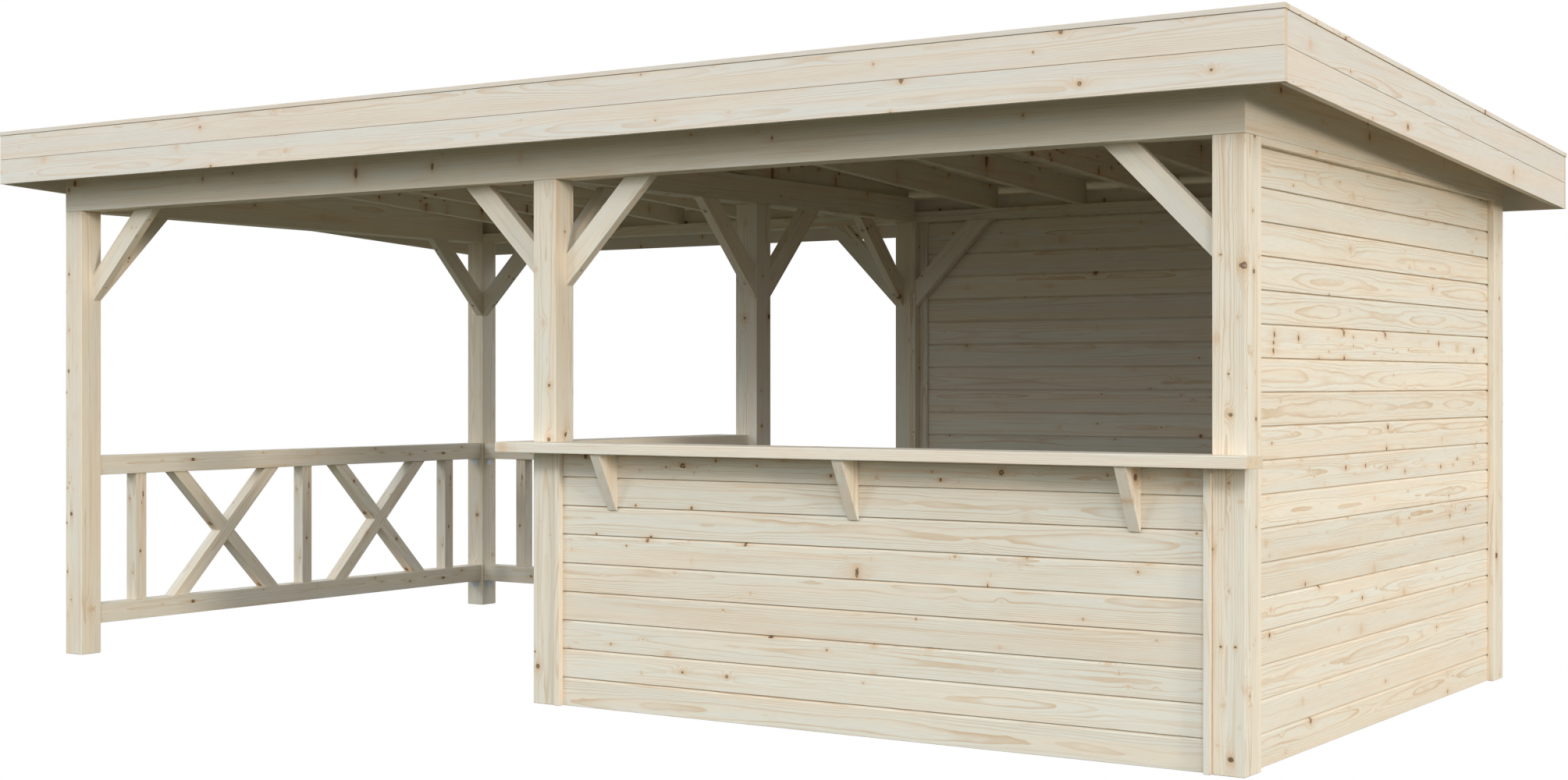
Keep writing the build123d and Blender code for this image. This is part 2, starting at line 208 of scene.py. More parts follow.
    # Rings, pushed outwards by each branch and wandering along the stem
    wander, waver, unequal = 0.028, 0.0018, 1.4
    late_starts, late_ends, sharpness = 0.32, 0.94, 2.4
    near_x = sums(tree, "DIVIDE", far_x, sums(tree, "MULTIPLY", radius, 3.2))
    near_s = sums(tree, "DIVIDE", far_s, sums(tree, "MULTIPLY", radius, 2.0))
    swell = sums(tree, "ADD", sums(tree, "POWER", near_x, 2.0), sums(tree, "POWER", near_s, 2.0))
    swell = sums(tree, "EXPONENT", sums(tree, "MULTIPLY", swell, -1.0))
    swell = sums(tree, "MULTIPLY", sums(tree, "MULTIPLY", swell, radius), 1.5)
    slow = clouds(tree, vector(tree, sums(tree, "MULTIPLY", x, 0.16), y, z), 6.0, 2.0, 0.45)
    slow = sums(tree, "MULTIPLY", sums(tree, "SUBTRACT", slow, 0.5), wander)
    quick = clouds(tree, vector(tree, sums(tree, "MULTIPLY", x, 0.25), y, z), 38.0, 1.0)
    quick = sums(tree, "MULTIPLY", sums(tree, "SUBTRACT", quick, 0.5), waver)
    ring_r = sums(tree, "ADD", sums(tree, "ADD", out, slow), sums(tree, "ADD", quick, swell))
    years = sums(tree, "DIVIDE", ring_r, given["Ring Width"])
    uneven = clouds(tree, vector(tree, ring_r, given["Board"], 0.0), 55.0, 1.0)
    years = sums(tree, "ADD", years, sums(tree, "MULTIPLY", uneven, unequal))
    year = sums(tree, "FRACT", years)
    which = add(tree, "ShaderNodeTexWhiteNoise", noise_dimensions="1D")
    put(tree, which, "W", sums(tree, "FLOOR", years))
    late = spread(tree, year, late_starts, late_ends, 0, 1, True)
    late = sums(tree, "POWER", late, sharpness)
    late = sums(tree, "MULTIPLY", late, spread(tree, year, 1.0, late_ends, 0, 1, True))
    late = sums(tree, "MULTIPLY", late, spread(tree, which.outputs[0], 0.0, 1.0, 0.35, 1.0))
    patchy = clouds(tree, vector(tree, sums(tree, "MULTIPLY", x, 0.3), y, z), 9.0, 1.0)
    late = sums(tree, "MULTIPLY", late, spread(tree, patchy, 0.3, 0.7, 0.35, 1.15))
    late = sums(tree, "MULTIPLY", late, given["Ring Strength"], clamp=True)

    # Fine fibres, soft resin streaks along them, and a tone of each board's own
    fibre = clouds(tree, vector(tree, sums(tree, "MULTIPLY", x, 0.012), y, z), 900.0, 2.0, 0.6)
    strip = clouds(tree, vector(tree, sums(tree, "MULTIPLY", x, 0.03), y, z), 42.0, 2.0, 0.55)
    strip = sums(tree, "MULTIPLY", spread(tree, strip, 0.52, 0.78, 0, 1, True), given["Streaks"])
    board = add(tree, "ShaderNodeTexWhiteNoise", noise_dimensions="1D")
    put(tree, board, "W", given["Board"])
    tone = add(tree, "ShaderNodeSeparateColor")
    put(tree, tone, 0, board.outputs["Color"])

    # The colours, laid over each other from the sapwood to the knots
    cool = tinted(tree, 1.0, given["Sapwood"], (0.985, 0.99, 0.985, 1), "MULTIPLY")
    warm = tinted(tree, 1.0, given["Sapwood"], (1.03, 0.965, 0.90, 1), "MULTIPLY")
    veil = clouds(tree, vector(tree, sums(tree, "MULTIPLY", x, 0.05), y, z), 17.0, 2.0, 0.5)
    veil = spread(tree, veil, 0.36, 0.66, -0.3, 0.7, True)
    veil = sums(tree, "ADD", veil, sums(tree, "MULTIPLY", tone.outputs[0], 0.6), clamp=True)
    body = tinted(tree, veil, cool, warm)
    fibres = spread(tree, fibre, 0.3, 0.72, 0.0, 0.30)
    body = tinted(tree, fibres, body, given["Latewood"], "MULTIPLY")
    body = tinted(tree, strip, body, given["Resin"])
    body = tinted(tree, late, body, given["Latewood"])
    flame = sums(tree, "MULTIPLY", sums(tree, "MULTIPLY", tail, there), 0.42)
    body = tinted(tree, flame, body, given["Resin"])
    body = tinted(tree, sums(tree, "MULTIPLY", halo, 0.55), body, given["Resin"])
    heart = tinted(tree, 0.5, given["Resin"], given["Knot"])
    bark = spread(tree, reach, 0.25, 0.7, 0.0, 1.0, True)
    dead = sums(tree, "GREATER_THAN", luck.outputs[2], 0.35)
    bark = sums(tree, "MAXIMUM", bark, sums(tree, "MULTIPLY", dead, 0.8))
    core = tinted(tree, bark, heart, given["Knot"])
    body = tinted(tree, sums(tree, "MULTIPLY", knot, 0.9), body, core)
    sawn = tinted(tree, 1.0, body, (0.90, 0.81, 0.68, 1), "MULTIPLY")
    body = tinted(tree, sums(tree, "MULTIPLY", given["End"], 0.8), body, sawn)
    light = spread(tree, tone.outputs[1], 0.0, 1.0, 0.93, 1.05)
    shade = add(tree, "ShaderNodeVectorMath", operation="SCALE")
    put(tree, shade, 0, body)
    put(tree, shade, "Scale", light)
    tree.links.new(shade.outputs[0], result.inputs["Color"])

    # Latewood and knots are harder, so they plane smoother and stand apart
    dull = sums(tree, "MULTIPLY_ADD", late, -0.10, 0.66)
    dull = sums(tree, "MULTIPLY_ADD", knot, -0.18, dull)
    dull = sums(tree, "MULTIPLY_ADD", sums(tree, "SUBTRACT", fibre, 0.5), 0.12, dull)
    tree.links.new(dull, result.inputs["Roughness"])
    relief = sums(tree, "MULTIPLY_ADD", late, 0.35, sums(tree, "MULTIPLY", fibre, 0.45))
    relief = sums(tree, "MULTIPLY_ADD", knot, -0.8, relief)
    tree.links.new(relief, result.inputs["Height"])
    return tree


spruce = make_spruce()


def timber_finish(name, sapwood, latewood, resin, knot, rings, strength, streaks, amount, size):
    # One finish of planed spruce: its colours, ring width, and how knotty it is
    finish = bpy.data.materials.new(name)
    finish.use_nodes = True
    tree = finish.node_tree
    skin = tree.nodes["Principled BSDF"]
    grain = add(tree, "ShaderNodeAttribute", attribute_name="grain", attribute_type="GEOMETRY")
    board = add(tree, "ShaderNodeAttribute", attribute_name="board", attribute_type="GEOMETRY")
    end = add(tree, "ShaderNodeAttribute", attribute_name="end", attribute_type="GEOMETRY")
    wood = add(tree, "ShaderNodeGroup", node_tree=spruce)
    put(tree, wood, "Grain", grain.outputs["Vector"])
    put(tree, wood, "Board", board.outputs["Fac"])
    put(tree, wood, "End", end.outputs["Fac"])
    put(tree, wood, "Ring Width", rings)
    put(tree, wood, "Ring Strength", strength)
    put(tree, wood, "Streaks", streaks)
    put(tree, wood, "Knot Amount", amount)
    put(tree, wood, "Knot Size", size)
    put(tree, wood, "Sapwood", (*sapwood, 1))
    put(tree, wood, "Latewood", (*latewood, 1))
    put(tree, wood, "Resin", (*resin, 1))
    put(tree, wood, "Knot", (*knot, 1))
    bump = add(tree, "ShaderNodeBump")
    bump.inputs["Strength"].default_value = 0.35
    bump.inputs["Distance"].default_value = 0.0006
    tree.links.new(wood.outputs["Height"], bump.inputs["Height"])
    tree.links.new(wood.outputs["Color"], skin.inputs["Base Color"])
    tree.links.new(wood.outputs["Roughness"], skin.inputs["Roughness"])
    tree.links.new(bump.outputs["Normal"], skin.inputs["Normal"])
    skin.inputs["Specular IOR Level"].default_value = 0.28
    return finish


def only(piece):
    # Takes up one piece and puts down all the others
    bpy.ops.object.select_all(action="DESELECT")
    piece.select_set(True)
    bpy.context.view_layer.objects.active = piece
    return piece


def squared(name, low, high):
    # A sawn length of timber from corner to corner
    bpy.ops.object.select_all(action="DESELECT")
    low, high = Vector(low), Vector(high)
    bpy.ops.mesh.primitive_cube_add(size=1, location=(low + high) / 2, scale=high - low)
    piece = bpy.context.object
    piece.name = name
    bpy.ops.object.transform_apply(location=True, rotation=True, scale=True)
    return piece


def eased(piece, width, steps=2, longer=0.2, tight=None):
    # Takes off the edges longer than a length; sawn ends and tight joints stay sharp
    only(piece)
    bpy.ops.object.mode_set(mode="EDIT")
    bpy.ops.mesh.select_mode(type="EDGE")
    bpy.ops.mesh.select_all(action="DESELECT")
    bpy.ops.mesh.edges_select_sharp(sharpness=math.radians(30))
    bpy.ops.object.mode_set(mode="OBJECT")
    for edge in piece.data.edges:
        start, stop = (piece.data.vertices[v].co for v in edge.vertices)
        edge.select = edge.select and (stop - start).length > longer
        if tight and tight((start + stop) / 2):
            edge.select = False
    bpy.ops.object.mode_set(mode="EDIT")
    bpy.ops.mesh.bevel(offset=width, segments=steps, affect="EDGES", clamp_overlap=True)
    bpy.ops.object.mode_set(mode="OBJECT")
    return piece


def islands(mesh):
    # The vertices of each separate length of timber
    group = list(range(len(mesh.vertices)))

    def root(v):
        while group[v] != v:
            group[v] = group[group[v]]
            v = group[v]
        return v

    for edge in mesh.edges:
        a, b = root(edge.vertices[0]), root(edge.vertices[1])
        if a != b:
            group[a] = b
    found = {}
    for v in range(len(mesh.vertices)):
        found.setdefault(root(v), []).append(v)
    return found, root


def lay_grain(piece, along=None, across=None, heart=None, seed=None):
    # Writes for each length where its fibres run: along it, and out from its pith, which
    # lies within the timber by "heart", or beside it as in a board sawn from the side
    mesh = piece.data
    luck = random.Random(seed if seed is not None else piece.name)
    found, root = islands(mesh)
    frames = {}
    for key in sorted(found):
        points = [mesh.vertices[v].co for v in found[key]]
        middle = sum(points, Vector()) / len(points)
        if callable(along):
            run, side = along(points)
        else:
            run, side = Vector(along), Vector(across)
        run = run.normalized()
        side = (side - side.dot(run) * run).normalized()
        deep = run.cross(side)
        if heart is None:
            aside, which = luck.uniform(-0.045, 0.045), luck.choice((-1, 1))
            shift = Vector((aside, which * luck.uniform(0.045, 0.12)))
        else:
            shift = Vector((luck.uniform(-heart, heart), luck.uniform(-heart, heart)))
        frames[key] = (middle, run, side, deep, luck.uniform(4, 60), shift, luck.random())
    for name, kind in (("grain", "FLOAT_VECTOR"), ("board", "FLOAT"), ("end", "FLOAT")):
        mesh.attributes.new(name, kind, "CORNER")
    grain, board, end = (mesh.attributes[name] for name in ("grain", "board", "end"))
    for face in mesh.polygons:
        middle, run, side, deep, start, shift, number = frames[root(face.vertices[0])]
        is_end = 1.0 if abs(face.normal.dot(run)) > 0.6 else 0.0
        for corner in face.loop_indices:
            place = mesh.vertices[mesh.loops[corner].vertex_index].co - middle
            value = (start + place.dot(run), shift.x + place.dot(side), shift.y + place.dot(deep))
            grain.data[corner].vector = value
            board.data[corner].value = number
            end.data[corner].value = is_end
    return piece


def finish_piece(piece, material, slot_name, *nodes, smooth=25):
    # Rounded edges stay smooth and the planed faces between them flat
    only(piece)
    bpy.ops.object.shade_smooth_by_angle(angle=math.radians(smooth))
    flat = piece.modifiers.new("flat faces", "WEIGHTED_NORMAL")
    flat.weight = 90
    flat.keep_sharp = True
    bpy.ops.object.modifier_apply(modifier="flat faces")
    piece.data.materials.clear()
    piece.data.materials.append(material)
    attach(piece, "root")
    if nodes:
        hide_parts(*nodes)
    return piece


frame_timber = timber_finish(
    "frame_timber",
    sapwood=(0.84, 0.80, 0.70),
    latewood=(0.62, 0.44, 0.27),
    resin=(0.66, 0.43, 0.24),
    knot=(0.11, 0.06, 0.032),
    rings=0.0048,
    strength=0.95,
    streaks=0.45,
    amount=0.75,
    size=0.0085,
)
FRONT_POSTS = ("front_left", "front_middle", "front_right")
POSTS = FRONT_POSTS + ("centre", "back_left", "back_middle", "back_right")
for place in POSTS:
    low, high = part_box("post_" + place)
    post = squared("post_" + place + "_timber", low, high)
    eased(post, width=0.004, steps=3)
    lay_grain(post, along=(0, 0, 1), across=(1, 0, 0), heart=0.045)
    finish_piece(post, frame_timber, "frame_timber", "post_" + place)


# Headers and middle beam: planed spruce as wide as the posts, laid on top of them. The
# front and back headers are rebated inside for the rafter ends, and the four headers
# meet in mitres over the corner posts.
def from_node(name, node):
    # The same timber as the frame's, its loose triangles joined into whole faces
    only(frame["nodes"][node])
    bpy.ops.object.duplicate()
    piece = bpy.context.object
    piece.name = name
    piece.data.name = name
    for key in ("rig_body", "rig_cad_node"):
        if key in piece:
            del piece[key]
    bpy.ops.object.parent_clear(type="CLEAR_KEEP_TRANSFORM")
    piece.data.materials.clear()
    bpy.ops.object.mode_set(mode="EDIT")
    bpy.ops.mesh.select_all(action="SELECT")
    bpy.ops.mesh.remove_doubles(threshold=0.00001)
    bpy.ops.mesh.customdata_custom_splitnormals_clear()
    bpy.ops.mesh.dissolve_limited(angle_limit=math.radians(1.0))
    bpy.ops.object.mode_set(mode="OBJECT")
    return piece


def facing(piece, way):
    # Opens a piece in edit mode with only the faces selected that look one way
    only(piece)
    bpy.ops.object.mode_set(mode="EDIT")
    bpy.ops.mesh.select_mode(type="FACE")
    bpy.ops.mesh.select_all(action="DESELECT")
    bpy.ops.object.mode_set(mode="OBJECT")
    for face in piece.data.polygons:
        face.select = face.normal.dot(way) > 0.9
    bpy.ops.object.mode_set(mode="EDIT")


def drawn_out(piece, run, length):
    # Draws both ends of a beam out along its run
    for way in (-run, run):
        facing(piece, way)
        bpy.ops.mesh.extrude_region_move(TRANSFORM_OT_translate={"value": way * length})
        bpy.ops.object.mode_set(mode="OBJECT")


def mitred(piece, corner, keep):
    # Cuts a corner at 45 degrees and closes it, keeping the side that a point lies on
    across = Vector((math.copysign(1, corner.y), -math.copysign(1, corner.x), 0)).normalized()
    if (keep - corner).dot(across) > 0:
        across.negate()
    only(piece)
    bpy.ops.object.mode_set(mode="EDIT")
    bpy.ops.mesh.select_all(action="SELECT")
    bpy.ops.mesh.bisect(plane_co=corner, plane_no=across, use_fill=True, clear_outer=True)
    bpy.ops.object.mode_set(mode="OBJECT")


BEAM = 0.120
FRAME_HALF = Vector((3.06, 1.56))
OVER_A_WALL = {"header_right": 0, "header_back": 1}
for node in ("header_front", "header_back", "header_left", "header_right", "beam_middle"):
    low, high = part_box(node)
    middle = (low + high) / 2
    run = Vector((0, 1, 0)) if high.x - low.x < 1 else Vector((1, 0, 0))
    beam = from_node(node + "_timber", node)
    if node in ("header_left", "header_right"):
        drawn_out(beam, run, BEAM)

    def under_batten(place):
        out = OVER_A_WALL.get(node)
        return out is not None and place.z < low.z + 0.001 and place[out] > high[out] - 0.001

    eased(beam, width=0.002, steps=2, tight=under_batten)
    if node != "beam_middle":
        for side, end in ((-1, -1), (-1, 1), (1, -1), (1, 1)):
            corner = Vector((side * FRAME_HALF.x, end * FRAME_HALF.y, middle.z))
            if abs(corner.x - middle.x) < BEAM or abs(corner.y - middle.y) < BEAM:
                mitred(beam, corner, middle)
    lay_grain(beam, along=run, across=(0, 0, 1), heart=0.06)
    finish_piece(beam, frame_timber, "frame_timber", node)


# Knee braces: 45 by 95 mm spruce at 45 degrees, cut upright against the post and level
# under the header. A countersunk steel screw near each end of the underside holds it.
brace_timber = timber_finish(
    "brace_timber",
    sapwood=(0.84, 0.80, 0.705),
    latewood=(0.62, 0.45, 0.29),
    resin=(0.66, 0.43, 0.24),
    knot=(0.11, 0.06, 0.032),
    rings=0.0042,
    strength=0.7,
    streaks=0.4,
    amount=0.3,
    size=0.008,
)


def timbers(mesh):
    # The places of the vertices of each length, one list for each
    found, root = islands(mesh)
    return [[mesh.vertices[v].co.copy() for v in found[key]] for key in sorted(found)]


def extent(points):
    # The lowest and the highest corner of the box round some points
    low = Vector([min(point[i] for point in points) for i in range(3)])
    high = Vector([max(point[i] for point in points) for i in range(3)])
    return low, high


def climb(points):
    # The level axis that a brace lies along, and whether it climbs up or down that axis
    low, high = extent(points)
    axis = 0 if high.x - low.x > high.y - low.y else 1
    foot = min(points, key=lambda point: point.z)
    return axis, 1 if foot[axis] - low[axis] < 0.02 else -1


def brace_run(points):
    # Along a brace, and square to it in its own plane
    axis, way = climb(points)
    run, side = Vector((0, 0, 1)), Vector((0, 0, 1))
    run[axis], side[axis] = way, -way
    return run, side


def joined(name, pieces):
    # Many small pieces made into one
    bpy.ops.object.select_all(action="DESELECT")
    for piece in pieces:
        piece.select_set(True)
    bpy.context.view_layer.objects.active = pieces[0]
    if len(pieces) > 1:
        bpy.ops.object.join()
    pieces[0].name = name
    pieces[0].data.name = name
    return pieces[0]


def screw(place, out, radius, height):
    # A round screw head with a socket in it, standing on a surface that faces out
    bpy.ops.object.select_all(action="DESELECT")
    middle = (0, 0, height / 2)
    bpy.ops.mesh.primitive_cylinder_add(vertices=18, radius=radius, depth=height, location=middle)
    head = bpy.context.object
    bpy.ops.object.transform_apply(location=True, rotation=True, scale=True)
    facing(head, Vector((0, 0, 1)))
    bpy.ops.mesh.inset(thickness=radius * 0.22, depth=height * 0.25)
    bpy.ops.mesh.inset(thickness=radius * 0.30, depth=0)
    bpy.ops.mesh.inset(thickness=radius * 0.03, depth=-height * 0.7)
    bpy.ops.object.mode_set(mode="OBJECT")
    head.rotation_euler = out.to_track_quat("Z", "Y").to_euler()
    head.location = place
    bpy.ops.object.transform_apply(location=True, rotation=True, scale=True)
    return head


steel = bpy.data.materials.new("galvanised_steel")
steel.use_nodes = True
tree = steel.node_tree
skin = tree.nodes["Principled BSDF"]
where = add(tree, "ShaderNodeTexCoord").outputs["Object"]
spangle = add(tree, "ShaderNodeTexVoronoi", voronoi_dimensions="3D", feature="F1")
put(tree, spangle, "Vector", where)
put(tree, spangle, "Scale", 260.0)
tone = add(tree, "ShaderNodeSeparateColor")
put(tree, tone, 0, spangle.outputs["Color"])
zinc = tinted(tree, tone.outputs[0], (0.62, 0.65, 0.68, 1), (0.82, 0.84, 0.86, 1))
put(tree, skin, "Base Color", zinc)
put(tree, skin, "Roughness", spread(tree, tone.outputs[1], 0, 1, 0.32, 0.5))
skin.inputs["Metallic"].default_value = 0.85

SCREW_UP = 0.060
BORE_RADIUS, BORE_DEEP = 0.0105, 0.009
HEAD_RADIUS, HEAD_HEIGHT = 0.0062, 0.0035
brace_screws = []
for place in POSTS:
    brace = from_node("braces_" + place + "_timber", "braces_" + place)
    bores = []
    for points in timbers(brace.data):
        low, high = extent(points)
        axis, way = climb(points)
        up, out = Vector((0, 0, 1)), Vector((0, 0, -1))
        up[axis], out[axis] = way, way
        out.normalize()
        foot = (low + high) / 2
        foot.z = low.z
        foot[axis] = low[axis] if way > 0 else high[axis]
        for rise in (SCREW_UP, high.z - low.z - SCREW_UP):
            seat = foot + up * rise
            bpy.ops.object.select_all(action="DESELECT")
            bpy.ops.mesh.primitive_cylinder_add(
                vertices=24,
                radius=BORE_RADIUS,
                depth=2 * BORE_DEEP,
                location=seat,
                rotation=out.to_track_quat("Z", "Y").to_euler(),
            )
            bpy.ops.object.transform_apply(location=True, rotation=True, scale=True)
            bores.append(bpy.context.object)
            brace_screws.append(screw(seat - out * BORE_DEEP, out, HEAD_RADIUS, HEAD_HEIGHT))
    eased(brace, width=0.0025, steps=2)
    bore = joined("brace_bores", bores)
    only(brace)
    cut = brace.modifiers.new("screw bores", "BOOLEAN")
    cut.operation = "DIFFERENCE"
    cut.solver = "EXACT"
    cut.object = bore
    bpy.ops.object.modifier_apply(modifier="screw bores")
    only(bore)
    bpy.ops.object.delete()
    lay_grain(brace, along=brace_run, heart=0.05)
    finish_piece(brace, brace_timber, "brace_timber", "braces_" + place)
finish_piece(joined("brace_screws", brace_screws), steel, "galvanised_steel", smooth=30)


# Rafters: planed 45 by 120 mm spruce every 500 mm, falling to the back and let into the
# headers. The middle one lies on the middle beam.
roof_timber = timber_finish(
    "roof_timber",
    sapwood=(0.81, 0.77, 0.66),
    latewood=(0.60, 0.44, 0.27),
    resin=(0.60, 0.38, 0.20),
    knot=(0.13, 0.07, 0.035),
    rings=0.0038,
    strength=0.8,
    streaks=0.4,
    amount=0.5,
    size=0.012,
)
for node in ("rafters_left", "rafter_middle", "rafters_right"):
    rafters = from_node(node + "_timber", node)
    eased(rafters, width=0.0025, steps=2)
    lay_grain(rafters, along=(0, 1, 0), across=(0, 0, 1), heart=0.05)
    finish_piece(rafters, roof_timber, "roof_timber", node)


# Roof boards: tongued and grooved spruce, 28 mm thick, nailed along the length over the
# rafters. Their V joints show from below, between the rafters, as the ceiling.
def with_edges(piece, chosen):
    # Opens a piece in edit mode with only the edges selected whose two ends pass a test
    only(piece)
    bpy.ops.object.mode_set(mode="EDIT")
    bpy.ops.mesh.select_mode(type="EDGE")
    bpy.ops.mesh.select_all(action="DESELECT")
    bpy.ops.object.mode_set(mode="OBJECT")
    for edge in piece.data.edges:
        edge.select = chosen(*(piece.data.vertices[v].co for v in edge.vertices))
    bpy.ops.object.mode_set(mode="EDIT")


def fallen(piece, front):
    # Lets a level piece fall to the back with the roof
    for vertex in piece.data.vertices:
        vertex.co.z -= ROOF_FALL * (vertex.co.y - front)


ROOF_FALL = 0.0525
BOARD, DECK = 0.119, 0.028
BOARD_GAP, CEILING_V = 0.0003, 0.0024
low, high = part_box("roof_boards")
under = high.z - DECK
boards = []
y = low.y
while y < high.y - 0.002:
    end_y = min(y + BOARD, high.y)
    corners = (low.x, y + BOARD_GAP, under), (high.x, end_y - BOARD_GAP, high.z)
    board = squared("roof_board", *corners)
    with_edges(board, lambda a, b: max(a.z, b.z) < under + 1e-5 and abs(a.x - b.x) > 1)
    bpy.ops.mesh.bevel(offset=CEILING_V, segments=2, affect="EDGES")
    bpy.ops.object.mode_set(mode="OBJECT")
    fallen(board, low.y)
    boards.append(board)
    y = end_y
deck = joined("roof_boards_timber", boards)
lay_grain(deck, along=(1, 0, 0), across=(0, 1, 0), seed=7)
finish_piece(deck, roof_timber, "roof_timber", "roof_boards")


# Fascias and caps: two rows of 28 mm spruce board nailed round the roof edge with a V
# joint between them, and a flat strip laid over the top edge. The long ones run
# through and the short ones butt against them.
fascia_timber = timber_finish(
    "fascia_timber",
    sapwood=(0.79, 0.755, 0.69),
    latewood=(0.66, 0.47, 0.31),
    resin=(0.70, 0.48, 0.30),
    knot=(0.20, 0.10, 0.05),
    rings=0.0040,
    strength=0.95,
    streaks=0.35,
    amount=0.42,
    size=0.010,
)
FASCIA_GAP, FASCIA_V = 0.0004, 0.0026


def fascia(node, run, seed):
    # Two rows of board, the lower one set under the upper one, both level or both sloping
    low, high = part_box(node)
    slopes = run.y > 0
    out = 0 if slopes else 1
    outer = max(low[out], high[out], key=abs)
    rows = []
    for row in range(2):
        upper = high.z - row * BOARD - FASCIA_GAP
        lower = high.z - (row + 1) * BOARD + (FASCIA_GAP if row == 0 else 0)
        board = squared("fascia_board", (low.x, low.y, lower), (high.x, high.y, upper))
        joints = (upper, lower) if row == 0 else (upper,)

        def at_joint(a, b):
            level = any(abs(a.z - z) < 1e-5 and abs(b.z - z) < 1e-5 for z in joints)
            return level and abs(a[out] - outer) < 1e-5 and abs(b[out] - outer) < 1e-5

        with_edges(board, at_joint)
        bpy.ops.mesh.bevel(offset=FASCIA_V, segments=2, affect="EDGES")
        bpy.ops.object.mode_set(mode="OBJECT")
        rows.append(board)
    piece = joined(node + "_timber", rows)
    if slopes:
        fallen(piece, low.y)
    lay_grain(piece, along=run, across=(0, 0, 1), seed=seed)
    return finish_piece(piece, fascia_timber, "fascia_timber", node)


fascia("fascia_front", Vector((1, 0, 0)), 31)
fascia("fascia_back", Vector((1, 0, 0)), 32)
fascia("fascia_left", Vector((0, 1, 0)), 33)
fascia("fascia_right", Vector((0, 1, 0)), 34)
low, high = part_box("fascia_right")
corner_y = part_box("fascia_back")[1].y
NAIL_RADIUS, NAIL_HEIGHT, NAIL_UP, NAIL_SUNK = 0.0035, 0.0015, 0.010, 0.0005
NAILS_IN = (0.010, 0.076)
nails = []
for side in (-1, 1):
    for end in (-1, 1):
        for inward in NAILS_IN:
            y = end * (corner_y - inward)
            z = high.z - 2 * BOARD - ROOF_FALL * (y - low.y) + NAIL_UP
            seat, out = Vector((side * (high.x - NAIL_SUNK), y, z)), Vector((side, 0, 0))
            nails.append(screw(seat, out, NAIL_RADIUS, NAIL_HEIGHT))
finish_piece(joined("fascia_nails", nails), steel, "galvanised_steel", smooth=30)
for node, run, side in (
    ("caps_long", (1, 0, 0), (0, 1, 0)),
    ("caps_short", (0, 1, 0), (1, 0, 0)),
):
    caps = from_node(node + "_timber", node)
    eased(caps, width=0.0015, steps=2)
    lay_grain(caps, along=run, across=side, seed=node)
    finish_piece(caps, fascia_timber, "fascia_timber", node)


# Railings: two 95 mm spruce rails with 70 mm balusters and halved crosses between them,
# glued up as a panel. The rising bar of each cross runs through and the other meets it.
railing_timber = timber_finish(
    "railing_timber",
    sapwood=(0.82, 0.775, 0.68),
    latewood=(0.60, 0.44, 0.28),
    resin=(0.60, 0.38, 0.20),
    knot=(0.14, 0.075, 0.035),
    rings=0.0042,
    strength=0.9,
    streaks=0.4,
    amount=0.3,
    size=0.009,
)
RAIL, BALUSTER, CROSS = 0.095, 0.070, 0.070
BALUSTER_IN, RAILING_LENGTH = 0.275, 2.88


def planed(piece, run, side, seed):
    # Each bar's long edges are eased before the panel is glued up
    eased(piece, width=0.003, steps=2)
    return lay_grain(piece, along=run, across=side, heart=0.03, seed=seed)


def bar(x0, x1, foot, head):
    # A sloping bar between the rails, in the plane of the panel
    half = CROSS / math.sqrt(2)
    piece = squared("bar", (-half, -CROSS / 2, foot), (half, CROSS / 2, head))
    for vertex in piece.data.vertices:
        share = (vertex.co.z - foot) / (head - foot)
        vertex.co.x += x0 + (x1 - x0) * share
    return piece


def railing(node, seed, way):
    # The panel lies along X about its own middle; "way" is where the rising bars lean
    low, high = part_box(node)
    half = RAILING_LENGTH / 2
    pieces = []
    for foot in (low.z, high.z - RAIL):
        rail = squared("rail", (-half, -RAIL / 2, foot), (half, RAIL / 2, foot + RAIL))
        pieces.append(planed(rail, (1, 0, 0), (0, 0, 1), seed))
    foot, head = low.z + RAIL, high.z - RAIL
    middle, lean = (foot + head) / 2, way * (head - foot) / 2
    last = half - BALUSTER_IN
    thick = BALUSTER / 2
    for x in (-last, 0, last):
        baluster = squared("baluster", (x - thick, -thick, foot), (x + thick, thick, head))
        pieces.append(planed(baluster, (0, 0, 1), (1, 0, 0), 40))
    for k, x in enumerate((-last / 2, last / 2)):
        through = bar(x - lean, x + lean, foot, head)
        pieces.append(planed(through, (way, 0, 1), (1, 0, -way), 50 + k))
        for up in (-1, 1):
            # The other bar is cut off where it meets the one that runs through
            lap = only(bar(x + lean, x - lean, foot, head))
            cut = CROSS / 2 / math.sqrt(2)
            point, across = (x - up * way * cut, 0, middle + up * cut), (-up * way, 0, up)
            bpy.ops.object.mode_set(mode="EDIT")
            bpy.ops.mesh.select_all(action="SELECT")
            bpy.ops.mesh.bisect(plane_co=point, plane_no=across, use_fill=True, clear_inner=True)
            bpy.ops.object.mode_set(mode="OBJECT")
            pieces.append(planed(lap, (-way, 0, 1), (1, 0, way), 60 + k))
    return joined(node + "_timber", pieces)


for node, seed, way in (("railing_left", 41, 1), ("railing_back", 43, -1)):
    low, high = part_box(node)
    panel = railing(node, seed, way)
    panel.location = ((low.x + high.x) / 2, (low.y + high.y) / 2, 0)
    if node == "railing_left":
        panel.rotation_euler = (0, 0, math.radians(90))
    only(panel)
    bpy.ops.object.transform_apply(location=True, rotation=True, scale=True)
    finish_piece(panel, railing_timber, "railing_timber", node)


